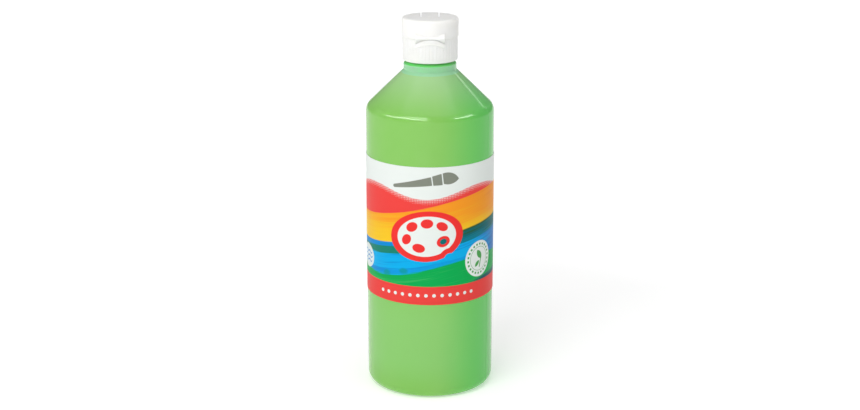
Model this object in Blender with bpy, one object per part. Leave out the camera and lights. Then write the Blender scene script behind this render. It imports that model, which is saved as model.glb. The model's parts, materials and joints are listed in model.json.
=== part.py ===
"""Half-litre squeeze bottle of poster paint with a flip-top screw cap.

The bottle stands upright on the plane z = 0 with +Z up. The origin is the
middle of its foot, and the thumb tab of the cap faces -Y. Sizes below are in
millimetres and the meshes are in metres.
"""
import math

import bmesh
import bpy

MM = 0.001
SEGMENTS = 48                 # facets round every turned piece
SMOOTH_ANGLE = math.radians(35)
TOUCH_GAP = 0.3               # left between solids that touch on the real object
OVERSHOOT = 1.0               # by which a cutter runs past what it cuts

# Bottle body, blow moulded
BODY_R = 34.0
WALL = 1.0
FOOT_FILLET = 5.6             # outside radius where the wall meets the foot
FOOT_RING_R = 24.5            # inner edge of the flat ring that it stands on
PUSH_UP_R = 22.5
PUSH_UP_EDGE = 1.6            # height of the hollow under the foot at its edge
PUSH_UP_MIDDLE = 2.8
FOOT_LEAN = 0.35              # inward shift of the foot's inner corners, per depth of wall
SHOULDER_Z = 154.0            # where wall and cone would meet if left sharp
SHOULDER_FILLET = 6.4
CONE_SLOPE = math.radians(44.3)

# Neck, with a right-hand thread
COLLAR_R = 14.0
COLLAR_TOP = 176.6
COLLAR_EDGE = 0.6
NECK_R = 10.9                 # root of the thread
BORE_R = 9.3
MOUTH_Z = 188.4
PITCH = 3.175
THREAD_TURNS = 1.5
THREAD_START = 180.4          # height of the thread's middle where it starts
THREAD_DEPTH = 0.95
THREAD_ROOT_HALF = 0.95       # half widths of the thread's section
THREAD_CREST_HALF = 0.45
THREAD_FADE = 0.06            # part of a turn in which an end runs out
ROWS_PER_PITCH = 6

# Paint and label
PAINT_LEVEL = 165.0
LABEL_LOW = 53.5
LABEL_HIGH = 128.5
LABEL_R = 34.05
LABEL_THICK = 0.15

# Screw cap
SKIRT_R = 14.65
SKIRT_LOW = 178.4
SKIRT_EDGE = 1.2              # rounding of the skirt's lower edge
SKIRT_EDGE_TURN = 70          # degrees of that rounding before the flat rim
SKIRT_BORE_R = 13.5           # inside of the outer skirt
SLEEVE_R = 12.95              # outside of the threaded sleeve
SLEEVE_BORE_R = 12.3
SLEEVE_LOW = 179.2
SKIRT_GAP_TOP = 188.9         # top of the slit between skirt and sleeve
DECK_LOW = 190.0
DECK_TOP = 191.1
DECK_EDGE = 0.3
CAP_THREAD_DEPTH = 1.0
CAP_THREAD_FIRST = 0.25       # turns on the neck's helix
CAP_THREAD_LAST = 1.35
SPOUT_R = 4.3
SPOUT_BORE_R = 2.4
SPOUT_TOP = 194.6
SPOUT_EDGE = 0.4
SNAP_RING_R = 13.2
SNAP_RING_THICK = 1.0
SNAP_RING_TOP = 192.7

# Sealing ring between mouth and cap
SEAL_R = 12.0
SEAL_BORE_R = 8.0

# Flip lid
LID_R = 15.0
LID_LOW = 191.5
LID_TOP = 201.0
LID_EDGE = 1.4
LID_BORE_R = 13.6
LID_UNDERSIDE = 199.8
PIN_R = 2.0
PIN_TIP_R = 1.4
PIN_TIP = 0.8                 # length of the pin's tapered tip
PIN_LOW = 193.0
TAB_ROOT = 0.7                # depth to which tab and pad are rooted in the lid's wall
TAB_HALF_WIDTH = 7.75
TAB_FRONT = 15.5              # distance of the tab's blunt edge from the axis
TAB_TOP_Z = 192.7             # where its upper slope meets the lid in front
TAB_TOP_SLOPE = 0.95
TAB_LOW_Z = 191.35            # where its lower slope meets the skirt in front
TAB_LOW_SLOPE = 1.34
LEDGE_Z = 188.7               # lower edge of the raised patch under the tab
LEDGE_SLOPE = 1.0
LEDGE_ROOT = 0.4              # depth to which ledge and pad are rooted in the skirt
SLOT_NEAR = 4.5               # slots on both sides of the lid's spring tongue
SLOT_FAR = 5.1
BLOCK_INSIDE = 11.5           # depth to which added blocks start inside a wall

# Hinge
HINGE_Y = 15.3
HINGE_Z = 191.35
HINGE_PAD_HALF = 3.8          # reach of each pad above and below the hinge
WEB_THICK = 0.4
WEB_HALF_HEIGHT = 0.85
WEB_MIDDLE_HALF = 4.2
WEB_SIDE_NEAR = 5.4
WEB_SIDE_FAR = 7.45


def clear_scene():
    for obj in list(bpy.data.objects):
        bpy.data.objects.remove(obj, do_unlink=True)


def make_material(name, colour, roughness):
    """A plain Principled material with no metal in it."""
    material = bpy.data.materials.new(name)
    material.use_nodes = True
    shader = material.node_tree.nodes["Principled BSDF"]
    shader.inputs["Base Color"].default_value = (*colour, 1.0)
    shader.inputs["Roughness"].default_value = roughness
    shader.inputs["Metallic"].default_value = 0.0
    return material


def finish_mesh(name, bm, material, origin=(0.0, 0.0, 0.0)):
    """Turn a bmesh in world millimetres into an object whose origin is given."""
    bmesh.ops.recalc_face_normals(bm, faces=bm.faces)
    for vert in bm.verts:
        vert.co = [(vert.co[axis] - origin[axis]) * MM for axis in range(3)]
    mesh = bpy.data.meshes.new(name)
    bm.to_mesh(mesh)
    bm.free()
    mesh.materials.append(material)
    mesh.shade_smooth()
    mesh.set_sharp_from_angle(angle=SMOOTH_ANGLE)
    obj = bpy.data.objects.new(name, mesh)
    obj.location = [value * MM for value in origin]
    bpy.context.scene.collection.objects.link(obj)
    return obj


def turned(name, outline, material, relief=None, origin=(0.0, 0.0, 0.0)):
    """Turn an outline of (radius, height) round Z.

    An outline that starts and ends on the axis gives a solid, and any other is
    closed on itself and gives a ring. relief(radius, height, angle) is added to
    the radius. The first facet starts at the back, on +Y.
    """
    bm = bmesh.new()
    rings = []
    for radius, height in outline:
        if radius == 0.0:
            rings.append([bm.verts.new((0.0, 0.0, height))] * SEGMENTS)
            continue
        ring = []
        for step in range(SEGMENTS):
            angle = 2.0 * math.pi * step / SEGMENTS
            reach = radius + (relief(radius, height, angle) if relief else 0.0)
            ring.append(bm.verts.new((-reach * math.sin(angle), reach * math.cos(angle), height)))
        rings.append(ring)
    if outline[0][0] > 0.0:
        rings.append(rings[0])
    for lower, upper in zip(rings, rings[1:]):
        for step in range(SEGMENTS):
            after = (step + 1) % SEGMENTS
            corners = (lower[step], lower[after], upper[after], upper[step])
            bm.faces.new(list(dict.fromkeys(corners)))
    return finish_mesh(name, bm, material, origin)


def prism(name, outline, x_low, x_high, material, origin=(0.0, 0.0, 0.0)):
    """Extrude a closed outline of (y, z) along X."""
    bm = bmesh.new()
    near = [bm.verts.new((x_low, y, z)) for y, z in outline]
    face = bm.faces.new(near)
    moved = bmesh.ops.extrude_face_region(bm, geom=[face])["geom"]
    far = [item for item in moved if isinstance(item, bmesh.types.BMVert)]
    bmesh.ops.translate(bm, verts=far, vec=(x_high - x_low, 0.0, 0.0))
    return finish_mesh(name, bm, material, origin)


def box_outline(y_low, y_high, z_low, z_high):
    return [(y_low, z_low), (y_high, z_low), (y_high, z_high), (y_low, z_high)]


def as_tool(obj):
    """Mark an object as a guide that only shapes others."""
    obj.hide_render = True
    obj.display_type = "WIRE"
    return obj


def combine(obj, tool, operation):
    modifier = obj.modifiers.new(f"{operation.lower()}_{tool.name}", "BOOLEAN")
    modifier.operation = operation
    modifier.object = as_tool(tool)


def arc(centre_r, centre_z, radius, start, end, steps):
    """Points of (r, z) along an arc, with its angles in degrees from +r."""
    points = []
    for step in range(steps + 1):
        angle = math.radians(start + (end - start) * step / steps)
        points.append((centre_r + radius * math.cos(angle), centre_z + radius * math.sin(angle)))
    return points


def cone_height(radius, inset=0.0):
    """Height of the shoulder cone at a radius, on a surface inset into the wall."""
    drop = inset / math.cos(CONE_SLOPE)
    return SHOULDER_Z - drop + (BODY_R - radius) * math.tan(CONE_SLOPE)


def shell_outline(inset, steps):
    """Outline of the body from the middle of its foot to the start of the shoulder cone."""
    fillet_r = BODY_R - FOOT_FILLET
    shoulder_z = SHOULDER_Z - SHOULDER_FILLET * math.tan((math.pi / 2 - CONE_SLOPE) / 2)
    points = [
        (0.0, PUSH_UP_MIDDLE + inset),
        (PUSH_UP_R - FOOT_LEAN * inset, PUSH_UP_EDGE + inset),
        (FOOT_RING_R - FOOT_LEAN * inset, inset),
    ]
    points += arc(fillet_r, FOOT_FILLET, FOOT_FILLET - inset, -90, 0, steps)
    shoulder_turn = 90 - math.degrees(CONE_SLOPE)
    points += arc(BODY_R - SHOULDER_FILLET, shoulder_z, SHOULDER_FILLET - inset, 0, shoulder_turn, steps)
    return points


def thread_rows(low, high):
    """Heights at which a threaded wall is sampled."""
    count = math.ceil((high - low) * ROWS_PER_PITCH / PITCH)
    return [low + (high - low) * row / count for row in range(count + 1)]


def thread_height(angle, height, start_z, first, last):
    """How far, from 0 to 1, a right-hand thread stands up at one point of a wall."""
    turns = angle / (2.0 * math.pi)
    turns += round((height - start_z) / PITCH - turns)
    off_middle = abs(height - start_z - PITCH * turns)
    flank = (THREAD_ROOT_HALF - off_middle) / (THREAD_ROOT_HALF - THREAD_CREST_HALF)
    run_out = min(turns - first, last - turns) / THREAD_FADE
    return max(0.0, min(1.0, flank, run_out))


def neck_relief(radius, height, angle):
    if radius != NECK_R or height <= COLLAR_TOP or height >= MOUTH_Z:
        return 0.0
    return THREAD_DEPTH * thread_height(angle, height, THREAD_START, 0.0, THREAD_TURNS)


def cap_relief(radius, height, angle):
    """The cap's thread runs half a pitch above the neck's."""
    if radius != SLEEVE_BORE_R or height <= SLEEVE_LOW or height >= DECK_LOW:
        return 0.0
    middle = THREAD_START + PITCH / 2
    return -CAP_THREAD_DEPTH * thread_height(angle, height, middle, CAP_THREAD_FIRST, CAP_THREAD_LAST)


def make_bottle(material):
    thread_low = THREAD_START - THREAD_ROOT_HALF
    thread_high = THREAD_START + PITCH * THREAD_TURNS + THREAD_ROOT_HALF
    outline = shell_outline(0.0, 4)
    outline += [(COLLAR_R, cone_height(COLLAR_R)), (COLLAR_R, COLLAR_TOP - COLLAR_EDGE)]
    outline += [(COLLAR_R - COLLAR_EDGE, COLLAR_TOP), (NECK_R, COLLAR_TOP)]
    outline += [(NECK_R, height) for height in thread_rows(thread_low, thread_high)]
    outline += [(NECK_R, MOUTH_Z), (BORE_R, MOUTH_Z), (BORE_R, cone_height(BORE_R, WALL))]
    outline += list(reversed(shell_outline(WALL, 3)))
    return turned("bottle", outline, material, neck_relief)


def make_paint(material):
    inset = WALL + TOUCH_GAP
    level_r = BODY_R - (PAINT_LEVEL - cone_height(BODY_R, inset)) / math.tan(CONE_SLOPE)
    outline = shell_outline(inset, 3) + [(level_r, PAINT_LEVEL), (0.0, PAINT_LEVEL)]
    return turned("paint_fill", outline, material)


def make_label(material):
    """A band round the body that leaves one vertex step bare on both sides of the back."""
    bm = bmesh.new()
    columns = []
    for step in range(1, SEGMENTS):
        angle = 2.0 * math.pi * step / SEGMENTS
        column = []
        for radius, height in (
            (LABEL_R, LABEL_LOW),
            (LABEL_R + LABEL_THICK, LABEL_LOW),
            (LABEL_R + LABEL_THICK, LABEL_HIGH),
            (LABEL_R, LABEL_HIGH),
        ):
            column.append(bm.verts.new((-radius * math.sin(angle), radius * math.cos(angle), height)))
        columns.append(column)
    for left, right in zip(columns, columns[1:]):
        for corner in range(4):
            after = (corner + 1) % 4
            bm.faces.new((left[corner], left[after], right[after], right[corner]))
    bm.faces.new(columns[0])
    bm.faces.new(columns[-1])
    return finish_mesh("label", bm, material)


def make_seal(material):
    low = MOUTH_Z + TOUCH_GAP
    high = DECK_LOW - TOUCH_GAP
    outline = [(SEAL_BORE_R, low), (SEAL_R, low), (SEAL_R, high), (SEAL_BORE_R, high)]
    return turned("mouth_seal", outline, material)


def cap_outline():
    """Section of the screw cap: spout, deck, snap ring, skirt and threaded sleeve."""
    thread_low = THREAD_START + PITCH * (CAP_THREAD_FIRST + 0.5) - THREAD_ROOT_HALF
    thread_high = THREAD_START + PITCH * (CAP_THREAD_LAST + 0.5) + THREAD_ROOT_HALF
    ring_r = SNAP_RING_R - SNAP_RING_THICK
    outline = [
        (SPOUT_BORE_R, DECK_LOW),
        (SPOUT_BORE_R, SPOUT_TOP - SPOUT_EDGE),
        (SPOUT_BORE_R + SPOUT_EDGE, SPOUT_TOP),
        (SPOUT_R - 2.0 * SPOUT_EDGE, SPOUT_TOP),
        (SPOUT_R - SPOUT_EDGE, SPOUT_TOP - SPOUT_EDGE),
        (SPOUT_R, DECK_TOP),
        (ring_r, DECK_TOP),
        (ring_r, SNAP_RING_TOP),
        (SNAP_RING_R, SNAP_RING_TOP),
        (SNAP_RING_R, DECK_TOP),
        (SKIRT_R - DECK_EDGE, DECK_TOP),
        (SKIRT_R, DECK_TOP - DECK_EDGE),
    ]
    outline += arc(SKIRT_R - SKIRT_EDGE, SKIRT_LOW + SKIRT_EDGE, SKIRT_EDGE, 0, -SKIRT_EDGE_TURN, 3)
    outline += [
        (SKIRT_BORE_R, SKIRT_LOW),
        (SKIRT_BORE_R, SKIRT_GAP_TOP),
        (SLEEVE_R, SKIRT_GAP_TOP),
        (SLEEVE_R, SLEEVE_LOW),
        (SLEEVE_BORE_R, SLEEVE_LOW),
    ]
    outline += [(SLEEVE_BORE_R, height) for height in thread_rows(thread_low, thread_high)]
    outline.append((SLEEVE_BORE_R, DECK_LOW))
    return outline


def rear_pad(name, direction, edge_z, core_r, material):
    """Block that carries the hinge behind a round wall, sloped off at its far end."""
    far_z = HINGE_Z + direction * HINGE_PAD_HALF
    slope_run = HINGE_Y - BLOCK_INSIDE
    outline = [
        (BLOCK_INSIDE, edge_z),
        (HINGE_Y, edge_z),
        (HINGE_Y, far_z),
        (BLOCK_INSIDE, far_z + direction * slope_run),
    ]
    pad = prism(name, outline, -TAB_HALF_WIDTH, TAB_HALF_WIDTH, material)
    low, high = sorted((edge_z - direction, far_z + direction * (slope_run + OVERSHOOT)))
    core = turned(f"{name}_core", [(0.0, low), (core_r, low), (core_r, high), (0.0, high)], material)
    combine(pad, core, "DIFFERENCE")
    return pad


def hinge_pocket(name, material):
    """Cutter that frees the hinge webs from the pads behind them."""
    reach = WEB_HALF_HEIGHT + TOUCH_GAP
    back = HINGE_Y - WEB_THICK - TOUCH_GAP
    outline = box_outline(back, HINGE_Y + OVERSHOOT, HINGE_Z - reach, HINGE_Z + reach)
    half_width = TAB_HALF_WIDTH + OVERSHOOT
    return prism(name, outline, -half_width, half_width, material)


def make_cap(material):
    hinge = (0.0, HINGE_Y, HINGE_Z)
    cap = turned("cap_base", cap_outline(), material, cap_relief, hinge)

    front = -LID_R - OVERSHOOT
    lowest = LEDGE_Z - LEDGE_SLOPE * (LID_R - BLOCK_INSIDE)
    outline = [
        (front, DECK_TOP),
        (front, LEDGE_Z + LEDGE_SLOPE * OVERSHOOT),
        (-BLOCK_INSIDE, lowest),
        (-BLOCK_INSIDE, DECK_TOP),
    ]
    ledge = prism("ledge_tool", outline, -TAB_HALF_WIDTH, TAB_HALF_WIDTH, material)
    core_r = SKIRT_R - LEDGE_ROOT
    low, high = lowest - OVERSHOOT, DECK_TOP + OVERSHOOT
    band = [(core_r, low), (LID_R, low), (LID_R, high), (core_r, high)]
    combine(ledge, turned("ledge_band", band, material), "INTERSECT")
    combine(cap, ledge, "UNION")
    combine(cap, rear_pad("cap_pad_tool", -1, DECK_TOP, core_r, material), "UNION")
    combine(cap, hinge_pocket("cap_pocket_tool", material), "DIFFERENCE")
    return cap


def lid_outline():
    outline = [(0.0, PIN_LOW), (PIN_TIP_R, PIN_LOW), (PIN_R, PIN_LOW + PIN_TIP), (PIN_R, LID_UNDERSIDE)]
    outline += [(LID_BORE_R, LID_UNDERSIDE), (LID_BORE_R, LID_LOW), (LID_R, LID_LOW)]
    outline += arc(LID_R - LID_EDGE, LID_TOP - LID_EDGE, LID_EDGE, 0, 90, 4)
    outline.append((0.0, LID_TOP))
    return outline


def make_tab_tool(material):
    """Bow-tie thumb tab: a wedge whose two slopes run back into the round wall."""
    reach = TAB_FRONT - LID_R
    run = LID_R - BLOCK_INSIDE
    outline = [
        (-TAB_FRONT, TAB_LOW_Z + TAB_LOW_SLOPE * reach),
        (-BLOCK_INSIDE, TAB_LOW_Z - TAB_LOW_SLOPE * run),
        (-BLOCK_INSIDE, TAB_TOP_Z + TAB_TOP_SLOPE * run),
        (-TAB_FRONT, TAB_TOP_Z - TAB_TOP_SLOPE * reach),
    ]
    tab = prism("tab_tool", outline, -TAB_HALF_WIDTH, TAB_HALF_WIDTH, material)
    outside = LID_R + TOUCH_GAP
    inside = LID_R - TAB_ROOT
    low = TAB_LOW_Z - TAB_LOW_SLOPE * run - OVERSHOOT
    core = [
        (0.0, low),
        (outside, low),
        (outside, LID_LOW),
        (inside, LID_LOW),
        (inside, LID_TOP),
        (0.0, LID_TOP),
    ]
    combine(tab, turned("tab_core", core, material), "DIFFERENCE")
    return tab


def make_lid(material):
    hinge = (0.0, HINGE_Y, HINGE_Z)
    lid = turned("lid", lid_outline(), material, None, hinge)
    combine(lid, make_tab_tool(material), "UNION")
    combine(lid, rear_pad("lid_pad_tool", 1, LID_LOW, LID_R - TAB_ROOT, material), "UNION")
    for side, low, high in (("left", -SLOT_FAR, -SLOT_NEAR), ("right", SLOT_NEAR, SLOT_FAR)):
        outline = box_outline(0.0, HINGE_Y + OVERSHOOT, LID_LOW - OVERSHOOT, LID_TOP + OVERSHOOT)
        combine(lid, prism(f"slot_{side}_tool", outline, low, high, material), "DIFFERENCE")
    combine(lid, hinge_pocket("lid_pocket_tool", material), "DIFFERENCE")
    return lid


def make_webs(material):
    """Thin bending webs between cap and lid, one on each side and one under the tongue."""
    spans = {
        "hinge_web_left": (-WEB_SIDE_FAR, -WEB_SIDE_NEAR),
        "hinge_web_middle": (-WEB_MIDDLE_HALF, WEB_MIDDLE_HALF),
        "hinge_web_right": (WEB_SIDE_NEAR, WEB_SIDE_FAR),
    }
    outline = box_outline(
        HINGE_Y - WEB_THICK, HINGE_Y, HINGE_Z - WEB_HALF_HEIGHT, HINGE_Z + WEB_HALF_HEIGHT
    )
    hinge = (0.0, HINGE_Y, HINGE_Z)
    return [prism(name, outline, low, high, material, hinge) for name, (low, high) in spans.items()]


def main():
    clear_scene()
    make_bottle(make_material("bottle_wall", (0.42, 0.72, 0.36), 0.35))
    make_paint(make_material("green_paint", (0.24, 0.56, 0.10), 0.30))
    make_label(make_material("label_film", (0.85, 0.86, 0.86), 0.35))
    make_seal(make_material("seal_foam", (0.90, 0.90, 0.88), 0.80))
    cap_plastic = make_material("cap_plastic", (0.86, 0.86, 0.83), 0.40)
    make_cap(cap_plastic)
    make_lid(cap_plastic)
    make_webs(cap_plastic)


main()
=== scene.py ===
"""Looks of the squeeze bottle of poster paint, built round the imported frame.

The bottle stands at the origin with +Z up, and its front faces -Y. Shapes are
worked out in millimetres and stored in metres.
"""
import json
import math

import bmesh
import bpy
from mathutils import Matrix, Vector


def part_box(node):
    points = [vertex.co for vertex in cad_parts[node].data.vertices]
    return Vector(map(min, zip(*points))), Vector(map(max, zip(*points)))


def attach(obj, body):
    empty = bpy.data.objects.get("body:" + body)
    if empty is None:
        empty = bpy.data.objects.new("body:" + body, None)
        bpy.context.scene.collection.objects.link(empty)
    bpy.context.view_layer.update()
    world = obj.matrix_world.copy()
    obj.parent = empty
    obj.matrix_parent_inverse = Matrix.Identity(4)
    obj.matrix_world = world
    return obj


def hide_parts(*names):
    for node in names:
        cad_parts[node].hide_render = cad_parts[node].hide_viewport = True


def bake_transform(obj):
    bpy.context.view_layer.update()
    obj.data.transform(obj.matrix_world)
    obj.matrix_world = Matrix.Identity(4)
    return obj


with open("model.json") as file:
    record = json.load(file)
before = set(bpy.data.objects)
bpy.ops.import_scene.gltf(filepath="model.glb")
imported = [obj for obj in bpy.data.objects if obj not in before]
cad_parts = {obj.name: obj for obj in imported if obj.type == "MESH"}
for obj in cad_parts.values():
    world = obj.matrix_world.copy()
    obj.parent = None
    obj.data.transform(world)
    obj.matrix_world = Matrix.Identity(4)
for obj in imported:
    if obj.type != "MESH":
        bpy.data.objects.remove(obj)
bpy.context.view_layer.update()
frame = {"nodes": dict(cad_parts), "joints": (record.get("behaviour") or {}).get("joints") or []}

MM = 0.001
SHARP_ANGLE = math.radians(35.0)         # edges that turn by more than this stay sharp
JOINTS = {joint["name"]: joint for joint in frame["joints"]}


def cad_box(node):
    """Lowest and highest corner of a CAD node in millimetres."""
    return [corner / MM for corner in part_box(node)]


BOTTLE_HIGH = cad_box("bottle")[1]
LABEL_LOW, LABEL_HIGH = cad_box("label")
CAP_LOW, CAP_HIGH = cad_box("cap_base")
LID_HIGH = cad_box("lid")[1]
SEAL_LOW, SEAL_HIGH = cad_box("mouth_seal")

# Mouth seal
SEAL_WIDTH = 4.0
SEAL_EDGE = 0.25

# Bottle
BODY_R = BOTTLE_HIGH.x
MOUTH_Z = BOTTLE_HIGH.z
FOOT_FILLET = 5.6
FOOT_RING_R = 24.5
PUSH_UP = 2.8
SHOULDER_Z = 154.0
SHOULDER_FILLET = 6.4
CONE_SLOPE = math.radians(44.3)
COLLAR_R = 14.0
COLLAR_TOP = 176.6
LEDGE_RISE = 1.5
WALL = 0.95
NECK_R = 10.9
BORE_R = 9.3
PARTING_AZIMUTH = math.radians(63.5)     # of the mould's parting line, right of the front
PARTING_HEIGHT = 0.14
PARTING_HALF_WIDTH = math.radians(0.45)
PARTING_LOW = 0.3

# Thread, right-hand
PITCH = 3.175
THREAD_TURNS = 1.5
THREAD_START = 180.4
THREAD_DEPTH = 0.95
THREAD_ROOT_HALF = 0.95
THREAD_CREST_HALF = 0.35
THREAD_RUN_OUT = 0.08                    # part of a turn in which an end runs out
THREAD_MARGIN = 1.2                      # height above and below that is cut into fine rows
CAP_THREAD_FIRST = 0.25
CAP_THREAD_LAST = 1.35
CAP_THREAD_DEPTH = 1.0

# Label
LABEL_R = LABEL_HIGH.x
LABEL_THICK = 0.15
LABEL_BARE = math.radians(7.5)           # bare angle on each side of the back
LABEL_CORNER = 2.0
LABEL_EDGE = 0.05
LABEL_STEPS = 280

# Screw cap
SKIRT_R = CAP_HIGH.x
SKIRT_LOW = CAP_LOW.z
SKIRT_EDGE = 1.2
SKIRT_BORE_R = 13.5
SKIRT_CEILING = 188.9
SLEEVE_R = 12.95
SLEEVE_BORE_R = 12.3
SLEEVE_LOW = 179.2
DECK_LOW = 190.0
DECK_TOP = 191.1
RIBS = 48
RIB_DEPTH = 0.16
SPOUT_R = 4.3
SPOUT_BORE_R = 2.4
SPOUT_TOP = 194.6
SNAP_RING_R = 13.2
SNAP_RING_TOP = 192.7

# Flip lid
LID_R = 15.0
LID_LOW = 191.2
LID_TOP = LID_HIGH.z
LID_EDGE = 1.4
LID_RIM = 0.1                            # how far the lid's lower rim stands out
LID_WALL = 0.7                           # depth that pads and tab reach into the lid
GATE_DEPTH = 0.15                        # of the dimple in the middle of the top
LID_BORE_R = 13.6
LID_UNDERSIDE = 199.8
PIN_R = 2.0
PIN_LOW = 193.0
TAB_HALF_WIDTH = 7.75
TAB_TOP_Z = 192.7
TAB_TOP_SLOPE = 0.95
TAB_LOW_Z = 191.35
TAB_LOW_SLOPE = 1.34
LEDGE_Z = 188.7
LEDGE_SLOPE = 1.0
SLOT_NEAR = 4.5
SLOT_FAR = 5.1
BLOCK_INSIDE = 11.5

# Hinge
HINGE_Y = JOINTS["lid_flip"]["pos_m"][1] / MM
HINGE_Z = JOINTS["lid_flip"]["pos_m"][2] / MM
PAD_HALF = 3.8
WEB_THICK = 0.4
WEB_GAP = 0.3
WEB_HALF_HEIGHT = 0.85
WEB_OVERLAP = 0.15                       # how far a web runs into each pad
WEB_SPANS = {"left": (-7.45, -5.4), "middle": (-4.2, 4.2), "right": (5.4, 7.45)}


def srgb(red, green, blue):
    """Linear colour of a display colour given from 0 to 255."""
    def linear(value):
        share = value / 255.0
        return share / 12.92 if share <= 0.04045 else ((share + 0.055) / 1.055) ** 2.4
    return (linear(red), linear(green), linear(blue), 1.0)


# ---------------------------------------------------------------- mesh tools

def rounded(corners, steps=5):
    """Outline through (a, b, radius) corners, each one rounded to its radius."""
    points = []
    for index, (a, b, radius) in enumerate(corners):
        if radius == 0.0:
            points.append((a, b))
            continue
        before = corners[index - 1]
        after = corners[(index + 1) % len(corners)]
        back = math.atan2(before[1] - b, before[0] - a)
        ahead = math.atan2(after[1] - b, after[0] - a)
        opening = (ahead - back + math.pi) % (2.0 * math.pi) - math.pi
        reach = radius / math.sin(abs(opening) / 2.0)
        middle = back + opening / 2.0
        centre = (a + reach * math.cos(middle), b + reach * math.sin(middle))
        turn = math.copysign(math.pi - abs(opening), opening)
        first = middle + math.pi + turn / 2.0
        for step in range(steps + 1):
            angle = first - turn * step / steps
            points.append((centre[0] + radius * math.cos(angle), centre[1] + radius * math.sin(angle)))
    return points


def finish_mesh(name, bm):
    """Object from a bmesh in millimetres, smooth except at its sharp edges."""
    bmesh.ops.recalc_face_normals(bm, faces=bm.faces)
    bmesh.ops.scale(bm, verts=bm.verts, vec=(MM, MM, MM))
    mesh = bpy.data.meshes.new(name)
    bm.to_mesh(mesh)
    bm.free()
    obj = bpy.data.objects.new(name, mesh)
    bpy.context.scene.collection.objects.link(obj)
    smooth(obj)
    return obj


def smooth(obj):
    obj.data.shade_smooth()
    obj.data.set_sharp_from_angle(angle=SHARP_ANGLE)


def lathe(name, outline, segments=192, relief=None, extra_angles=()):
    """Turn (radius, height) points round Z. relief(row, radius, height, angle) adds to a radius.

    Angles start at the back, on +Y, and grow towards -X. An outline that doesn't
    start on the axis is closed on itself.
    """
    bm = bmesh.new()
    angles = sorted({2.0 * math.pi * step / segments for step in range(segments)} | set(extra_angles))
    rings = []
    for row, (radius, height) in enumerate(outline):
        if radius == 0.0:
            rings.append([bm.verts.new((0.0, 0.0, height))] * len(angles))
            continue
        ring = []
        for angle in angles:
            reach = radius + (relief(row, radius, height, angle) if relief else 0.0)
            ring.append(bm.verts.new((-reach * math.sin(angle), reach * math.cos(angle), height)))
        rings.append(ring)
    if outline[0][0] > 0.0:
        rings.append(rings[0])
    for lower, upper in zip(rings, rings[1:]):
        for step in range(len(angles)):
            after = (step + 1) % len(angles)
            corners = (lower[step], lower[after], upper[after], upper[step])
            bm.faces.new(list(dict.fromkeys(corners)))
    return finish_mesh(name, bm)


def prism(name, outline, x_low, x_high, bevel=0.0, slices=1):
    """Extrude a closed (y, z) outline along X and round its edges."""
    bm = bmesh.new()
    rings = []
    for part in range(slices + 1):
        x = x_low + (x_high - x_low) * part / slices
        rings.append([bm.verts.new((x, y, z)) for y, z in outline])
    for near, far in zip(rings, rings[1:]):
        for corner in range(len(outline)):
            after = (corner + 1) % len(outline)
            bm.faces.new((near[corner], near[after], far[after], far[corner]))
    bm.faces.new(rings[0])
    bm.faces.new(rings[-1])
    if bevel:
        bmesh.ops.bevel(bm, geom=bm.edges[:], offset=bevel, segments=3, profile=0.5, affect="EDGES")
    return finish_mesh(name, bm)


def box_outline(y_low, y_high, z_low, z_high):
    return [(y_low, z_low), (y_high, z_low), (y_high, z_high), (y_low, z_high)]


def combine(obj, tool, operation):
    """Cut or join tool into obj for good."""
    modifier = obj.modifiers.new("shape", "BOOLEAN")
    modifier.operation = operation
    modifier.object = tool
    evaluated = obj.evaluated_get(bpy.context.evaluated_depsgraph_get())
    mesh = bpy.data.meshes.new_from_object(evaluated)
    obj.modifiers.clear()
    obj.data = mesh
    bpy.data.objects.remove(tool, do_unlink=True)
    return obj


def soften(obj, width, steps=2):
    """Round every edge sharper than 40 degrees by a width in millimetres."""
    modifier = obj.modifiers.new("edge", "BEVEL")
    modifier.width = width * MM
    modifier.segments = steps
    modifier.limit_method = "ANGLE"
    modifier.angle_limit = math.radians(40)
    evaluated = obj.evaluated_get(bpy.context.evaluated_depsgraph_get())
    mesh = bpy.data.meshes.new_from_object(evaluated)
    obj.modifiers.clear()
    obj.data = mesh
    smooth(obj)
    return obj


def settle(obj, body, node, material):
    """Give a piece its material and let it stand for a CAD node, on its body if it has one."""
    obj.data.materials.clear()
    obj.data.materials.append(material)
    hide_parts(node)
    if body:
        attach(obj, body)
    return obj


def ease(value):
    value = max(0.0, min(1.0, value))
    return value * value * (3.0 - 2.0 * value)


# ------------------------------------------------------------ material tools

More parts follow.
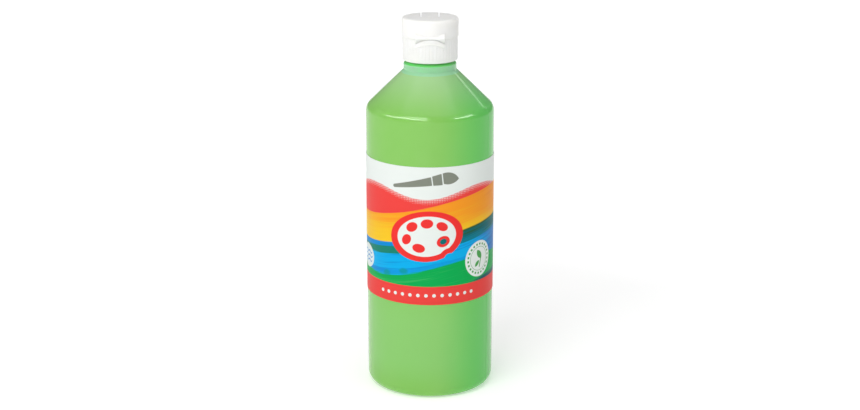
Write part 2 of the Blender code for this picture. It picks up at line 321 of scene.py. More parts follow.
class Graph:
    """A Principled material and short calls for the nodes that feed it."""

    def __init__(self, name, **sockets):
        self.material = bpy.data.materials.new(name)
        self.material.use_nodes = True
        self.tree = self.material.node_tree
        self.shader = self.tree.nodes["Principled BSDF"]
        for socket, value in sockets.items():
            self.shader.inputs[socket.replace("_", " ")].default_value = value
        coordinates = self.tree.nodes.new("ShaderNodeTexCoord")
        scale = self.tree.nodes.new("ShaderNodeVectorMath")
        scale.operation = "SCALE"
        scale.inputs["Scale"].default_value = 1.0 / MM
        self.tree.links.new(coordinates.outputs["Object"], scale.inputs[0])
        self.place = scale.outputs[0]
        split = self.tree.nodes.new("ShaderNodeSeparateXYZ")
        self.tree.links.new(self.place, split.inputs[0])
        self.x, self.y, self.z = split.outputs

    def feed(self, socket, value):
        if isinstance(value, bpy.types.NodeSocket):
            self.tree.links.new(value, socket)
        else:
            socket.default_value = value

    def math(self, operation, *values):
        node = self.tree.nodes.new("ShaderNodeMath")
        node.operation = operation
        for socket, value in zip(node.inputs, values):
            self.feed(socket, value)
        return node.outputs[0]

    def add(self, first, *others):
        for other in others:
            first = self.math("ADD", first, other)
        return first

    def sub(self, a, b):
        return self.math("SUBTRACT", a, b)

    def mul(self, a, b):
        return self.math("MULTIPLY", a, b)

    def vector(self, x, y, z):
        node = self.tree.nodes.new("ShaderNodeCombineXYZ")
        for socket, value in zip(node.inputs, (x, y, z)):
            self.feed(socket, value)
        return node.outputs[0]

    def ramp(self, value, low, high, out_low=0.0, out_high=1.0):
        """Smooth step from out_low at low to out_high at high."""
        node = self.tree.nodes.new("ShaderNodeMapRange")
        node.interpolation_type = "SMOOTHSTEP"
        for socket, item in zip(node.inputs, (value, low, high, out_low, out_high)):
            self.feed(socket, item)
        return node.outputs[0]

    def spread(self, value, low, high):
        """Straight map of a value from 0 to 1 onto low to high."""
        return self.add(self.mul(value, high - low), low)

    def mix(self, factor, a, b):
        node = self.tree.nodes.new("ShaderNodeMix")
        node.data_type = "RGBA"
        self.feed(node.inputs[0], factor)
        self.feed(node.inputs[6], a)
        self.feed(node.inputs[7], b)
        return node.outputs[2]

    def noise(self, vector, scale=1.0, detail=2.0, roughness=0.5):
        """Noise from 0 to 1 whose features are about 1 / scale millimetres wide."""
        node = self.tree.nodes.new("ShaderNodeTexNoise")
        self.feed(node.inputs["Vector"], vector)
        node.inputs["Scale"].default_value = scale
        node.inputs["Detail"].default_value = detail
        node.inputs["Roughness"].default_value = roughness
        return node.outputs[0]

    def bump(self, height, distance, strength=1.0):
        """Bump from a height of 0 to 1 that stands for a distance in millimetres."""
        node = self.tree.nodes.new("ShaderNodeBump")
        node.inputs["Strength"].default_value = strength
        node.inputs["Distance"].default_value = distance * MM
        self.feed(node.inputs["Height"], height)
        self.tree.links.new(node.outputs[0], self.shader.inputs["Normal"])

    def set(self, **sockets):
        for socket, value in sockets.items():
            self.feed(self.shader.inputs[socket.replace("_", " ")], value)


# ----------------------------------------------------------------- materials

SCATTER_REACH = 0.002                    # in metres


def bottle_material():
    """Milky plastic that takes its green from the paint behind it and pales towards the neck.

    The green is yellower on -X and bluer on +X, as painted light on the left and painted shade
    on the right, and it is paler low down. Its paling towards the neck is partly the headspace
    above the paint and partly painted light from above. The collar's paler teal is partly its own
    and partly painted shade from above, and the bright green shelf above the collar is a painted
    glow of light through the plastic where the cap shades it. Light scatters in the collar
    and the neck only.
    """
    g = Graph(
        "green_bottle_plastic",
        IOR=1.5,
        Specular_IOR_Level=0.3,
        Subsurface_Radius=(0.25, 1.0, 0.4),
        Subsurface_Scale=SCATTER_REACH,
    )
    cloud = g.noise(g.place, 0.03, 3.0)
    colour = g.mix(g.ramp(cloud, 0.35, 0.75), srgb(127, 191, 86), srgb(133, 193, 94))
    low = g.mul(g.ramp(g.z, 75.0, 40.0), g.ramp(g.z, 2.0, 22.0))
    colour = g.mix(low, colour, srgb(133, 197, 104))
    # Paler towards the neck: partly the headspace above the paint, partly painted light from above on the
    # cone.
    colour = g.mix(g.ramp(g.z, SHOULDER_Z - 2.0, SHOULDER_Z + 22.0), colour, srgb(160, 204, 142))
    # Painted light and shade: a yellower green on the lit -X side and a bluer green on the shaded +X side.
    painted_shade_green = g.mix(g.ramp(g.z, SHOULDER_Z - 4.0, SHOULDER_Z + 14.0), srgb(88, 198, 90), srgb(116, 202, 124))
    painted_shade_drift = g.add(g.x, g.mul(cloud, 6.0))
    colour = g.mix(g.ramp(painted_shade_drift, 5.0, 34.0, 0.0, 0.85), colour, painted_shade_green)
    foot = cone_height(COLLAR_R) - 1.4
    # Collar: its own paler teal, painted darker than the cone as shade for its lesser light from above.
    in_collar = g.ramp(g.z, foot - 0.05, foot + 0.15)
    colour = g.mix(in_collar, colour, srgb(150, 209, 161))
    ledge_top = COLLAR_TOP + LEDGE_RISE
    # Painted glow: a bright green on the shelf under the cap stands for light through the plastic in the
    # cap's shade.
    ledge = g.mul(g.ramp(g.z, COLLAR_TOP, COLLAR_TOP + 0.3), g.ramp(g.z, ledge_top + 0.6, ledge_top + 0.1))
    colour = g.mix(ledge, colour, srgb(112, 222, 114))
    g.set(Base_Color=colour)
    g.set(Subsurface_Weight=g.ramp(g.z, foot + 0.2, foot + 2.0, 0.0, 0.8))
    g.set(Roughness=g.spread(g.noise(g.place, 0.05, 2.0), 0.11, 0.17))
    g.bump(g.noise(g.place, 0.09, 1.0), 0.2)
    return g.material


def paint_material():
    """Thick wet paint."""
    g = Graph("poster_paint_green", IOR=1.45, Coat_Weight=0.4, Coat_Roughness=0.05)
    swirl = g.noise(g.place, 0.08, 4.0, 0.6)
    g.set(Base_Color=g.mix(g.ramp(swirl, 0.3, 0.7), srgb(112, 190, 58), srgb(128, 198, 74)))
    g.set(Roughness=g.spread(g.noise(g.place, 0.4), 0.18, 0.3))
    g.bump(g.noise(g.place, 0.3, 2.0), 0.05)
    return g.material


def plastic_material(name, colour, shade, roughness):
    """Moulded white polypropylene with a fine sparked surface."""
    g = Graph(
        name,
        IOR=1.49,
        Specular_IOR_Level=0.25,
        Subsurface_Weight=0.8,
        Subsurface_Radius=(1.0, 0.98, 0.92),
        Subsurface_Scale=SCATTER_REACH,
    )
    cloud = g.noise(g.place, 0.12, 3.0)
    g.set(Base_Color=g.mix(g.ramp(cloud, 0.3, 0.75), colour, shade))
    g.set(Roughness=g.spread(g.noise(g.place, 1.6, 3.0), roughness - 0.04, roughness + 0.05))
    g.bump(g.noise(g.place, 5.0, 2.0), 0.006, 0.5)
    return g.material


def foam_material():
    g = Graph("seal_foam", IOR=1.45)
    cells = g.noise(g.place, 3.0, 4.0, 0.7)
    g.set(Base_Color=g.mix(g.ramp(cells, 0.3, 0.7), srgb(226, 226, 220), srgb(240, 240, 236)))
    g.set(Roughness=g.spread(cells, 0.7, 0.9))
    g.bump(cells, 0.05)
    return g.material


class Print(Graph):
    """Ink on the label, drawn in millimetres: s runs round the bottle from the front, z is height."""

    def __init__(self, name, radius, **sockets):
        super().__init__(name, **sockets)
        back = self.mul(self.y, -1.0)
        self.s = self.mul(self.math("ARCTAN2", self.x, back), radius)
        self.ink = None

    def wave(self, mean, amplitude, period, shift=0.0):
        """Height of a printed edge that waves round the bottle."""
        turn = self.mul(self.sub(self.s, shift), 2.0 * math.pi / period)
        return self.add(self.mul(self.math("SINE", turn), amplitude), mean)

    def below(self, edge, soft=0.15):
        """1 under a printed edge and 0 above it."""
        return self.ramp(self.sub(edge, self.z), -soft, soft)

    def lay(self, mask, colour):
        """Print a colour over what is there."""
        self.ink = self.mix(mask, self.ink, colour)

    def inside(self, distance, soft=0.12):
        """1 where a signed distance in millimetres is negative."""
        return self.ramp(distance, soft, -soft)

    def ellipse(self, s, z, half_s, half_z, tilt=0.0):
        """Signed distance, near enough, to a tilted ellipse."""
        ds, dz = self.sub(self.s, s), self.sub(self.z, z)
        cosine, sine = math.cos(math.radians(tilt)), math.sin(math.radians(tilt))
        along = self.add(self.mul(ds, cosine / half_s), self.mul(dz, sine / half_s))
        across = self.sub(self.mul(dz, cosine / half_z), self.mul(ds, sine / half_z))
        length = self.math("SQRT", self.add(self.mul(along, along), self.mul(across, across)))
        return self.mul(self.sub(length, 1.0), min(half_s, half_z))

    def bar(self, start, end, start_r, end_r=None):
        """Signed distance to a round-ended bar, which may taper."""
        end_r = start_r if end_r is None else end_r
        run, rise = end[0] - start[0], end[1] - start[1]
        square = run * run + rise * rise
        ds, dz = self.sub(self.s, start[0]), self.sub(self.z, start[1])
        share = self.add(self.mul(ds, run / square), self.mul(dz, rise / square))
        share = self.math("MINIMUM", self.math("MAXIMUM", share, 0.0), 1.0)
        off_s = self.sub(ds, self.mul(share, run))
        off_z = self.sub(dz, self.mul(share, rise))
        length = self.math("SQRT", self.add(self.mul(off_s, off_s), self.mul(off_z, off_z)))
        return self.sub(length, self.add(self.mul(share, end_r - start_r), start_r))

    def join(self, first, *others):
        for other in others:
            first = self.math("MINIMUM", first, other)
        return first

    def overlap(self, first, second):
        return self.math("MAXIMUM", first, second)


WHITE_INK = srgb(226, 232, 228)
RED_INK = srgb(230, 66, 62)
PALETTE_RED = srgb(232, 50, 48)
ORANGE_INK = srgb(240, 150, 34)
YELLOW_INK = srgb(239, 193, 34)
BLUE_INK = srgb(0, 132, 206)
FOREST_INK = srgb(34, 92, 58)
CYAN_INK = srgb(0, 170, 228)
GREEN_INK = srgb(0, 166, 78)
GREY_INK = srgb(128, 133, 121)
LEAF_INK = srgb(74, 158, 78)


def draw_bands(p):
    """Brushed bands of paint from the white top field down to the red strip."""
    flow = p.wave(0.0, 6.8, 213.0)
    level = p.sub(p.z, flow)
    streak = p.noise(p.vector(p.mul(p.s, 0.018), p.mul(level, 0.42), 0.0), 1.0, 3.0, 0.55)
    fine = p.noise(p.vector(p.mul(p.s, 0.03), p.mul(level, 1.6), 4.0), 1.0, 2.0, 0.6)
    spread = p.sub(p.add(p.mul(streak, 0.65), p.mul(fine, 0.35)), 0.5)

    red_top = p.wave(114.2, 3.05, 64.5, 13.9)
    depth = p.sub(red_top, p.z)
    p.lay(p.mul(p.below(red_top, 0.1), p.ramp(depth, -1.5, 3.0, 0.75, 1.0)), RED_INK)
    dots = p.mul(
        p.math("SINE", p.mul(p.add(p.s, p.z), 3.6)), p.math("SINE", p.mul(p.sub(p.s, p.z), 3.6))
    )
    gap = p.mul(p.ramp(p.sub(dots, p.mul(depth, 0.3)), -0.05, 0.2), p.below(red_top, 0.1))
    p.lay(p.mul(gap, 0.75), WHITE_INK)

    orange_top = p.add(p.wave(106.3, 7.8, 213.0, -3.0), p.mul(spread, 2.0))
    orange = p.below(orange_top, 0.3)
    p.lay(orange, ORANGE_INK)
    sink = p.add(p.sub(orange_top, p.z), p.mul(spread, 30.0), p.mul(p.s, -0.16))
    p.lay(p.mul(p.ramp(sink, 1.0, 18.0), orange), YELLOW_INK)
    p.lay(p.mul(p.ramp(spread, 0.06, 0.2, 0.0, 0.35), orange), srgb(226, 112, 36))

    rightward = p.ramp(p.s, -16.0, 14.0)
    edge_ink = p.mix(rightward, srgb(0, 134, 206), FOREST_INK)
    p.lay(p.below(p.add(p.wave(90.4, 6.5, 213.0), p.mul(spread, 1.6)), 0.3), edge_ink)
    murky_top = p.add(p.wave(88.6, 7.6, 213.0), p.mul(spread, 6.0))
    murky = p.mix(rightward, srgb(20, 126, 106), srgb(6, 100, 108))
    p.lay(p.below(murky_top, 0.4), murky)
    p.lay(p.mul(p.below(murky_top, 0.4), p.ramp(spread, 0.03, 0.12)), srgb(8, 130, 92))
    p.lay(p.mul(p.below(murky_top, 0.4), p.ramp(spread, -0.04, -0.14)), p.mix(rightward, murky, FOREST_INK))
    teal_top = p.add(p.wave(85.6, 6.8, 213.0), p.mul(spread, 14.0))
    p.lay(p.mul(p.below(teal_top, 0.6), p.mul(rightward, 0.8)), srgb(0, 124, 146))

    cyan_top = p.add(p.wave(83.6, 5.6, 213.0), p.mul(spread, 9.0))
    cyan = p.below(cyan_top, 0.4)
    p.lay(cyan, CYAN_INK)
    p.lay(p.mul(cyan, p.ramp(spread, 0.02, 0.15, 0.0, 0.85)), BLUE_INK)
    low_blue = p.sub(p.add(p.wave(72.8, 5.4, 130.0, -2.5), 4.0), p.z)
    p.lay(p.mul(cyan, p.ramp(p.add(low_blue, p.mul(spread, 22.0)), 0.5, 3.0, 0.0, 0.5)), BLUE_INK)
    p.lay(p.mul(cyan, p.ramp(p.add(p.s, p.mul(spread, 50.0)), 22.0, 46.0, 0.0, 0.7)), srgb(44, 92, 170))

    green_top = p.add(p.wave(72.8, 5.4, 130.0, -2.5), p.mul(spread, 4.0))
    green = p.below(green_top, 0.3)
    p.lay(green, GREEN_INK)
    p.lay(p.mul(green, p.ramp(spread, 0.0, 0.18, 0.0, 0.5)), srgb(92, 190, 110))
    for s, z in ((-25.0, 69.2), (-14.5, 71.6)):
        dab = p.add(p.ellipse(s, z, 2.6, 1.5, 8.0), p.mul(spread, 3.0))
        p.lay(p.mul(p.inside(dab, 0.5), 0.75), srgb(0, 148, 140))
    stroke = p.add(p.sub(p.add(p.mul(p.s, 0.09), 62.6), p.z), p.mul(spread, 5.0))
    p.lay(p.mul(p.ramp(stroke, 0.0, 1.0), p.ramp(p.s, 18.0, 34.0)), srgb(24, 84, 96))


def draw_patch(p):
    """Small white oval with three blue waves on the left."""
    oval = p.ellipse(-44.2, 73.9, 8.0, 6.6, 4.0)
    p.lay(p.mul(p.inside(oval), 0.92), WHITE_INK)
    ripple = p.mul(p.math("SINE", p.mul(p.s, 1.3)), 0.5)
    level = p.sub(p.sub(p.z, 73.9), ripple)
    for height in (-2.4, 0.0, 2.4):
        line = p.sub(p.math("ABSOLUTE", p.sub(level, height)), 0.4)
        p.lay(p.mul(p.inside(p.overlap(line, p.add(oval, 1.5))), 0.8), BLUE_INK)


def draw_palette(p):
    """Painter's palette in white with a thick red rim, a thumb hole and five dabs."""
    notch = p.ellipse(10.4, 79.2, 6.0, 5.4, 30.0)
    board = p.overlap(p.ellipse(-1.9, 91.2, 15.9, 10.9, 6.0), p.mul(notch, -1.0))
    hole = p.ellipse(7.0, 88.4, 3.6, 2.9, 25.0)
    rim = p.overlap(p.sub(board, 2.8), p.sub(-1.4, hole))
    p.lay(p.inside(rim), PALETTE_RED)
    p.lay(p.inside(p.overlap(board, p.mul(hole, -1.0))), WHITE_INK)
    for s, z, half_s, half_z, tilt in (
        (-12.6, 89.2, 3.0, 2.4, 60.0),
        (-9.6, 96.2, 3.2, 2.5, 30.0),
        (-1.6, 98.2, 3.3, 2.5, 5.0),
        (6.4, 96.6, 3.2, 2.3, -25.0),
        (-6.0, 84.8, 3.4, 2.4, -10.0),
    ):
        p.lay(p.inside(p.ellipse(s, z, half_s, half_z, tilt)), PALETTE_RED)


def draw_brush(p):
    """Grey paint brush on the white field."""
    handle = p.bar((-19.3, 117.6), (0.2, 121.0), 0.9, 2.3)
    ferrule = p.bar((2.4, 121.4), (5.6, 121.9), 2.6, 3.0)
    hair = p.overlap(p.ellipse(8.9, 119.0, 7.2, 6.6, 9.0), p.ellipse(9.9, 125.8, 7.2, 6.6, 9.0))
    p.lay(p.inside(p.join(handle, ferrule, hair)), GREY_INK)
    p.lay(p.inside(p.bar((1.6, 117.6), (0.6, 125.0), 0.28)), WHITE_INK)
    p.lay(p.inside(p.bar((7.0, 118.4), (6.2, 126.0), 0.28)), WHITE_INK)


def draw_badge(p):
    """Round white badge with a dashed ring and a sprig of two leaves."""
    s, z = 29.5, 75.7
    disc = p.ellipse(s, z, 9.9, 9.9)
    p.lay(p.inside(disc), WHITE_INK)
    angle = p.math("ARCTAN2", p.sub(p.z, z), p.sub(p.s, s))
    dashes = p.ramp(p.math("SINE", p.mul(angle, 22.0)), -0.2, 0.2)
    ring = p.sub(p.math("ABSOLUTE", p.add(disc, 1.9)), 0.55)
    p.lay(p.mul(p.inside(ring), dashes), LEAF_INK)
    thin = p.sub(p.math("ABSOLUTE", p.add(disc, 3.4)), 0.12)
    p.lay(p.inside(thin), LEAF_INK)
    upper = p.overlap(p.ellipse(s - 1.6, z + 1.2, 3.6, 3.6), p.ellipse(s + 1.8, z + 3.4, 3.6, 3.6))
    lower = p.overlap(p.ellipse(s - 2.9, z - 1.2, 2.9, 2.9), p.ellipse(s - 0.3, z - 3.9, 2.9, 2.9))
    stem = p.bar((s + 0.2, z - 4.6), (s + 1.6, z + 1.0), 0.35)
    p.lay(p.inside(p.join(upper, lower, stem)), LEAF_INK)


def draw_strip(p):
    """Red strip along the foot of the label with a row of white dots."""
    p.lay(p.below(63.6), RED_INK)
    spacing = 4.3
    turn = p.sub(p.math("FRACT", p.mul(p.s, 1.0 / spacing)), 0.5)
    ds, dz = p.mul(turn, spacing), p.sub(p.z, 58.7)
    dot = p.sub(p.math("SQRT", p.add(p.mul(ds, ds), p.mul(dz, dz))), 0.95)
    row = p.sub(p.math("ABSOLUTE", p.add(p.s, spacing / 2.0)), spacing * 6.5)
    p.lay(p.inside(p.overlap(dot, row)), WHITE_INK)


def label_material():
    p = Print("printed_label", LABEL_R, IOR=1.5, Specular_IOR_Level=0.08)
    p.ink = WHITE_INK
    draw_bands(p)
    draw_patch(p)
    draw_strip(p)
    draw_palette(p)
    draw_brush(p)
    draw_badge(p)
    p.set(Base_Color=p.ink)
    p.set(Roughness=p.spread(p.noise(p.place, 0.2, 2.0), 0.36, 0.46))
    p.bump(p.noise(p.place, 0.12, 1.0), 0.1)
    return p.material


# -------------------------------------------------------------------- pieces

def cone_height(radius):
    return SHOULDER_Z + (BODY_R - radius) * math.tan(CONE_SLOPE)


def thread_height(angle, height, start_z, first, last):
    """How far, from 0 to 1, the thread stands up at one point of a wall."""
    turns = angle / (2.0 * math.pi)
    turns += round((height - start_z) / PITCH - turns)
    off_middle = abs(height - start_z - PITCH * turns)
    flank = (THREAD_ROOT_HALF - off_middle) / (THREAD_ROOT_HALF - THREAD_CREST_HALF)
    run_out = min(turns - first, last - turns) / THREAD_RUN_OUT
    return ease(flank) * ease(run_out)


def rows(low, high, step):
    count = math.ceil((high - low) / step)
    return [low + (high - low) * row / count for row in range(count + 1)]


def parting_ridge(angle):
    """Height of the thin ridge that the mould's halves leave on opposite sides."""
    off = (angle - math.pi - PARTING_AZIMUTH + math.pi / 2.0) % math.pi - math.pi / 2.0
    return PARTING_HEIGHT * max(0.0, 1.0 - abs(off) / PARTING_HALF_WIDTH)


def make_bottle(material):
    slope_height = COLLAR_TOP + LEDGE_RISE
    outer = rounded(
        [
            (0.0, PUSH_UP, 0.0),
            (FOOT_RING_R - 2.2, 1.5, 2.5),
            (FOOT_RING_R, 0.0, 1.0),
            (BODY_R, 0.0, FOOT_FILLET),
            (BODY_R, SHOULDER_Z, SHOULDER_FILLET),
            (COLLAR_R, cone_height(COLLAR_R), 1.0),
            (COLLAR_R, COLLAR_TOP, 0.6),
            (COLLAR_R - LEDGE_RISE, slope_height, 0.5),
            (NECK_R, slope_height, 0.5),
            (NECK_R, MOUTH_Z, 0.0),
        ],
        10,
    )[:-1]
    thread_top = THREAD_START + PITCH * THREAD_TURNS
    thread = [(NECK_R, z) for z in rows(THREAD_START - THREAD_MARGIN, thread_top + THREAD_MARGIN, 0.22)]
    inner = rounded(
        [
            (NECK_R, slope_height, 0.0),
            (NECK_R, MOUTH_Z, 0.35),
            (BORE_R, MOUTH_Z, 0.35),
            (BORE_R, cone_height(BORE_R + WALL), 2.0),
            (BODY_R - WALL, SHOULDER_Z, SHOULDER_FILLET - WALL),
            (BODY_R - WALL, WALL, FOOT_FILLET - WALL),
            (FOOT_RING_R - 1.0, WALL, 1.5),
            (FOOT_RING_R - 3.0, PUSH_UP + WALL, 2.5),
            (0.0, PUSH_UP + WALL, 0.0),
        ],
        6,
    )[1:]

    def relief(row, _radius, height, angle):
        if row < len(outer):
            return parting_ridge(angle) * ease(height - PARTING_LOW)
        if row < len(outer) + len(thread):
            return THREAD_DEPTH * thread_height(angle, height, THREAD_START, 0.0, THREAD_TURNS)
        return 0.0

    extra_angles = []
    for side in (0.0, math.pi):
        for share in (-1.6, -1.0, -0.5, 0.0, 0.5, 1.0, 1.6):
            offset = PARTING_HALF_WIDTH * share
            extra_angles.append((PARTING_AZIMUTH + side + offset) % (2.0 * math.pi))
    shell = lathe("bottle_shell", outer + thread + inner, 192, relief, extra_angles)
    return settle(shell, "bottle", "bottle", material)


def make_label(material):
    """Film wrapped round the body, rounded at its four corners."""
    bm = bmesh.new()
    columns = []
    span = 2.0 * math.pi - 2.0 * LABEL_BARE
    for step in range(LABEL_STEPS + 1):
        angle = LABEL_BARE + span * step / LABEL_STEPS
        from_end = LABEL_R * min(angle - LABEL_BARE, 2.0 * math.pi - LABEL_BARE - angle)
        near = max(0.0, LABEL_CORNER - from_end)
        cut = LABEL_CORNER - math.sqrt(max(0.0, LABEL_CORNER * LABEL_CORNER - near * near))
        low, high = LABEL_LOW.z + cut, LABEL_HIGH.z - cut
        column = []
        for radius, height in (
            (LABEL_R - LABEL_THICK, low),
            (LABEL_R - LABEL_EDGE, low),
            (LABEL_R, low + LABEL_EDGE),
            (LABEL_R, (low + high) / 2.0),
            (LABEL_R, high - LABEL_EDGE),
            (LABEL_R - LABEL_EDGE, high),
            (LABEL_R - LABEL_THICK, high),
        ):
            column.append(bm.verts.new((-radius * math.sin(angle), radius * math.cos(angle), height)))
        columns.append(column)
    for left, right in zip(columns, columns[1:]):
        for index in range(len(left)):
            after = (index + 1) % len(left)
            bm.faces.new((left[index], left[after], right[after], right[index]))
    bm.faces.new(columns[0])
    bm.faces.new(columns[-1])
    return settle(finish_mesh("label_wrap", bm), "bottle", "label", material)


def make_seal(material):
    outline = rounded(
        [
            (SEAL_HIGH.x - SEAL_WIDTH, SEAL_LOW.z, SEAL_EDGE),
            (SEAL_HIGH.x, SEAL_LOW.z, SEAL_EDGE),
            (SEAL_HIGH.x, SEAL_HIGH.z, SEAL_EDGE),
            (SEAL_HIGH.x - SEAL_WIDTH, SEAL_HIGH.z, SEAL_EDGE),
        ],
        3,
    )
    return settle(lathe("seal_ring", outline, 96), "seal", "mouth_seal", material)


def cap_sections():
    """Outline of the cap in three runs: the top, the ribbed skirt and the inside."""
    ring_r = SNAP_RING_R - 1.0
    top = rounded(
        [
            (SPOUT_BORE_R, DECK_LOW, 0.0),
            (SPOUT_BORE_R, SPOUT_TOP, 0.35),
            (SPOUT_R - 0.7, SPOUT_TOP, 0.4),
            (SPOUT_R, DECK_TOP, 0.5),
            (ring_r, DECK_TOP, 0.2),
            (ring_r, SNAP_RING_TOP, 0.3),
            (SNAP_RING_R, SNAP_RING_TOP, 0.3),
            (SNAP_RING_R, DECK_TOP, 0.15),
            (SKIRT_R, DECK_TOP, 0.3),
            (SKIRT_R, SKIRT_LOW, 0.0),
        ],
        5,
    )[:-1]
    skirt = [(SKIRT_R, z) for z in reversed(rows(SKIRT_LOW + SKIRT_EDGE + 0.1, DECK_TOP - 0.4, 0.4))]
    inside = rounded(
        [
            (SKIRT_R, DECK_TOP, 0.0),
            (SKIRT_R, SKIRT_LOW, SKIRT_EDGE - 0.1),
            (SKIRT_BORE_R, SKIRT_LOW, 0.0),
            (SKIRT_BORE_R, SKIRT_CEILING, 0.0),
            (SLEEVE_R, SKIRT_CEILING, 0.0),
            (SLEEVE_R, SLEEVE_LOW, 0.15),
            (SLEEVE_BORE_R, SLEEVE_LOW, 0.15),
            (SLEEVE_BORE_R, DECK_LOW, 0.0),
        ],
        5,
    )[1:]
    return top, skirt, inside


def make_cap(material):
    top, skirt, inside = cap_sections()
    low = THREAD_START + PITCH * (CAP_THREAD_FIRST + 0.5) - THREAD_MARGIN
    high = THREAD_START + PITCH * (CAP_THREAD_LAST + 0.5) + THREAD_MARGIN
    thread = [(SLEEVE_BORE_R, z) for z in rows(low, high, 0.25)]
    first_rib, last_rib = len(top), len(top) + len(skirt)

    def relief(row, radius, height, angle):
        if first_rib <= row < last_rib:
            fade = ease((height - SKIRT_LOW - SKIRT_EDGE) / 0.8) * ease((DECK_TOP - 0.5 - height) / 0.7)
            groove = math.cos(RIBS * angle / 2.0) ** 4
            return -RIB_DEPTH * fade * groove
        if radius == SLEEVE_BORE_R and low <= height <= high:
            middle = THREAD_START + PITCH / 2.0
            stand = thread_height(angle, height, middle, CAP_THREAD_FIRST, CAP_THREAD_LAST)
            return -CAP_THREAD_DEPTH * stand
        return 0.0

    outline = top + skirt + inside[:-1] + thread + inside[-1:]
    cap = lathe("screw_cap", outline, RIBS * 8, relief)

    ledge_outline = [
        (-LID_R - 1.0, DECK_TOP - 0.02),
        (-LID_R - 1.0, LEDGE_Z + LEDGE_SLOPE),
        (-BLOCK_INSIDE, LEDGE_Z - LEDGE_SLOPE * (LID_R - BLOCK_INSIDE)),
        (-BLOCK_INSIDE, DECK_TOP - 0.02),
    ]
    ledge = prism("ledge", ledge_outline, -TAB_HALF_WIDTH, TAB_HALF_WIDTH)
    core_r = SKIRT_R - 0.45
    band = [(core_r, SKIRT_LOW), (LID_R, SKIRT_LOW), (LID_R, LID_TOP), (core_r, LID_TOP)]
    combine(ledge, lathe("ledge_band", band, 384), "INTERSECT")
    soften(ledge, 0.2)
    combine(cap, ledge, "UNION")
    combine(cap, rear_pad("cap_pad", -1, DECK_TOP - 0.02, core_r), "UNION")
    combine(cap, hinge_pocket("cap_pocket"), "DIFFERENCE")
    smooth(cap)
    return settle(cap, "cap", "cap_base", material)


def rear_pad(name, direction, edge_z, core_r):
    """Block that carries the hinge behind a round wall, sloped off at its far end."""
    far_z = HINGE_Z + direction * PAD_HALF
    run = HINGE_Y - BLOCK_INSIDE
    outline = [
        (BLOCK_INSIDE, edge_z),
        (HINGE_Y, edge_z),
        (HINGE_Y, far_z),
        (BLOCK_INSIDE, far_z + direction * run),
    ]
    pad = prism(name, outline, -TAB_HALF_WIDTH, TAB_HALF_WIDTH, 0.2)
    low, high = sorted((edge_z - direction, far_z + direction * (run + 1.0)))
    core = [(0.0, low), (core_r, low), (core_r, high), (0.0, high)]
    return combine(pad, lathe(f"{name}_core", core, 192), "DIFFERENCE")


def hinge_pocket(name):
    reach = WEB_HALF_HEIGHT
    back = HINGE_Y - WEB_THICK - WEB_GAP
    outline = box_outline(back, HINGE_Y + 1.0, HINGE_Z - reach, HINGE_Z + reach)
    return prism(name, outline, -TAB_HALF_WIDTH - 1.0, TAB_HALF_WIDTH + 1.0)


def make_tab():
    """Bow-tie thumb tab: a wedge whose two slopes run back into the round wall."""
    run = LID_R - BLOCK_INSIDE
    reach = (TAB_TOP_Z - TAB_LOW_Z) / (TAB_TOP_SLOPE + TAB_LOW_SLOPE)
    outline = rounded(
        [
            (-LID_R - reach, TAB_TOP_Z - TAB_TOP_SLOPE * reach, 0.95),
            (-BLOCK_INSIDE, TAB_LOW_Z - TAB_LOW_SLOPE * run, 0.0),
            (-BLOCK_INSIDE, TAB_TOP_Z + TAB_TOP_SLOPE * run, 0.0),
        ],
        8,
    )
    tab = prism("tab", outline, -TAB_HALF_WIDTH, TAB_HALF_WIDTH)
    soften(tab, 0.3, 4)
    outside = LID_R + 0.02
    inside = LID_R - LID_WALL
    core = [
        (0.0, TAB_LOW_Z - 8.0),
        (outside, TAB_LOW_Z - 8.0),
        (outside, LID_LOW),
        (inside, LID_LOW),
        (inside, LID_TOP),
        (0.0, LID_TOP),
    ]
    return combine(tab, lathe("tab_core", core, 384), "DIFFERENCE")


def make_lid(material):
    outline = rounded(
        [
            (0.0, PIN_LOW, 0.0),
            (PIN_R, PIN_LOW, 0.9),
            (PIN_R, LID_UNDERSIDE, 0.5),
            (LID_BORE_R, LID_UNDERSIDE, 0.8),
            (LID_BORE_R, LID_LOW, 0.2),
            (LID_R + LID_RIM, LID_LOW, 0.25),
            (LID_R + LID_RIM, LID_LOW + 0.6, 0.6),
            (LID_R, LID_LOW + 1.2, 1.2),
            (LID_R, LID_TOP, LID_EDGE),
            (0.0, LID_TOP, 0.0),
        ],
        7,
    )
    lid = lathe("flip_lid", outline, 240)
    combine(lid, make_tab(), "UNION")
    combine(lid, rear_pad("lid_pad", 1, LID_LOW + 0.1, LID_R - LID_WALL), "UNION")
    for side, low, high in (("left", -SLOT_FAR, -SLOT_NEAR), ("right", SLOT_NEAR, SLOT_FAR)):
        slot = box_outline(0.0, HINGE_Y + 1.0, LID_LOW - 1.0, LID_TOP + 1.0)
        combine(lid, prism(f"slot_{side}", slot, low, high), "DIFFERENCE")
    combine(lid, hinge_pocket("lid_pocket"), "DIFFERENCE")
    bottom, top = LID_TOP - GATE_DEPTH, LID_TOP + 0.5
    dimple = rounded([(0.0, bottom, 0.0), (1.0, bottom, 0.3), (1.9, top, 0.0)], 3)
    dimple.append((0.0, top))
    combine(lid, lathe("dimple", dimple, 48), "DIFFERENCE")
    smooth(lid)
    return settle(lid, "lid", "lid", material)


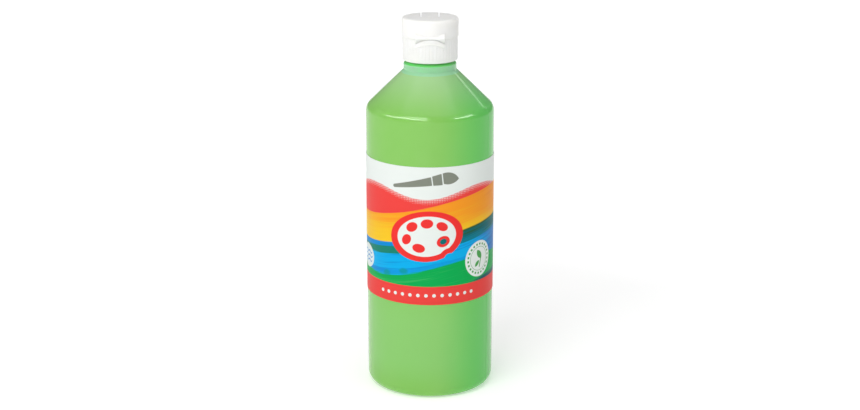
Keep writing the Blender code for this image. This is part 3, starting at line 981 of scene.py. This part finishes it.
def make_webs(material):
    """Thin hinge webs that run between the cap's pad and the lid's pad."""
    reach = WEB_HALF_HEIGHT + WEB_OVERLAP
    low, high = HINGE_Z - reach, HINGE_Z + reach
    steps = 16
    inner = [(HINGE_Y - WEB_THICK, low + (high - low) * step / steps) for step in range(steps + 1)]
    outer = [(HINGE_Y, z) for _, z in reversed(inner)]
    for side, (x_low, x_high) in WEB_SPANS.items():
        web = prism(f"hinge_film_{side}", inner + outer, x_low, x_high, slices=6)
        settle(web, None, f"hinge_web_{side}", material)
        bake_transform(web)


# --------------------------------------------------------------------- stage

LAMP_AIM_Z = 0.12                        # height that the lamps face, in metres
CAMERA_PLACE = (0.0, -0.8574, 0.34734)
CAMERA_DOWN = math.radians(16.18)        # how far the camera looks down
CAMERA_LENS = 69.34
SKY_STRENGTH = 0.265


def add_softbox(name, azimuth, elevation, distance, width, height, power, gloss_only=False):
    """Rectangular lamp that faces the bottle. Azimuth 0 is in front and grows to the right.

    Sizes are in metres. A gloss_only lamp adds highlights and no diffuse light.
    """
    lamp = bpy.data.lights.new(name, "AREA")
    lamp.shape = "RECTANGLE"
    lamp.size = width
    lamp.size_y = height
    lamp.energy = power
    obj = bpy.data.objects.new(name, lamp)
    side, up = math.radians(azimuth), math.radians(elevation)
    obj.location = (
        distance * math.sin(side) * math.cos(up),
        -distance * math.cos(side) * math.cos(up),
        LAMP_AIM_Z + distance * math.sin(up),
    )
    obj.rotation_euler = (math.pi / 2.0 - up, 0.0, side)
    obj.visible_camera = False
    obj.visible_diffuse = not gloss_only
    bpy.context.scene.collection.objects.link(obj)


def make_stage():
    scene = bpy.context.scene
    scene.view_settings.view_transform = "Standard"
    world = bpy.data.worlds.new("studio")
    world.use_nodes = True
    background = world.node_tree.nodes["Background"]
    background.inputs["Color"].default_value = (1.0, 1.0, 1.0, 1.0)
    background.inputs["Strength"].default_value = SKY_STRENGTH
    scene.world = world

    bm = bmesh.new()
    bmesh.ops.create_grid(bm, x_segments=8, y_segments=8, size=4000.0)
    floor = finish_mesh("floor", bm)
    g = Graph("pale_floor", Emission_Color=(1.0, 1.0, 1.0, 1.0))
    cloud = g.noise(g.place, 0.01, 2.0)
    g.set(Base_Color=g.mix(cloud, (0.86, 0.86, 0.86, 1.0), (0.88, 0.88, 0.88, 1.0)))
    away = g.math("SQRT", g.add(g.mul(g.x, g.x), g.mul(g.y, g.y)))
    # Painted light: the floor glows, dimmer near the bottle and brighter far off, so that it reads white.
    g.set(Emission_Strength=g.ramp(away, 40.0, 1300.0, 0.36, 0.80))
    g.set(Roughness=0.9)
    floor.data.materials.append(g.material)

    add_softbox("key_softbox", -30.0, 42.0, 0.9, 0.6, 0.03, 3.0)
    add_softbox("low_fill", -14.0, 2.0, 1.0, 0.7, 0.16, 0.95)
    add_softbox("left_panel", -100.0, 12.0, 1.0, 0.7, 0.9, 0.8)
    add_softbox("right_strip", 70.0, 40.0, 1.0, 0.7, 0.025, 0.42)
    add_softbox("rim_strip", 136.0, 26.0, 1.0, 0.05, 0.2, 0.13)
    add_softbox("overhead_panel", 0.0, 86.0, 1.1, 1.3, 1.3, 6.1)
    add_softbox("left_glint", -44.0, 27.0, 0.9, 1.4, 0.03, 10.0, gloss_only=True)
    add_softbox("right_glint", 68.0, 27.0, 1.0, 0.7, 0.03, 5.0, gloss_only=True)

    camera_data = bpy.data.cameras.new("camera")
    camera_data.sensor_width = 36.0
    camera_data.lens = CAMERA_LENS
    camera = bpy.data.objects.new("camera", camera_data)
    camera.location = CAMERA_PLACE
    camera.rotation_euler = (math.pi / 2.0 - CAMERA_DOWN, 0.0, 0.0)
    scene.collection.objects.link(camera)
    scene.camera = camera


def main():
    make_stage()
    cap_plastic = plastic_material("white_cap_plastic", srgb(245, 244, 241), srgb(241, 240, 236), 0.42)
    make_bottle(bottle_material())
    make_label(label_material())
    make_seal(foam_material())
    make_cap(cap_plastic)
    make_lid(cap_plastic)
    make_webs(cap_plastic)
    paint = frame["nodes"]["paint_fill"]
    paint.data.materials.clear()
    paint.data.materials.append(paint_material())


main()
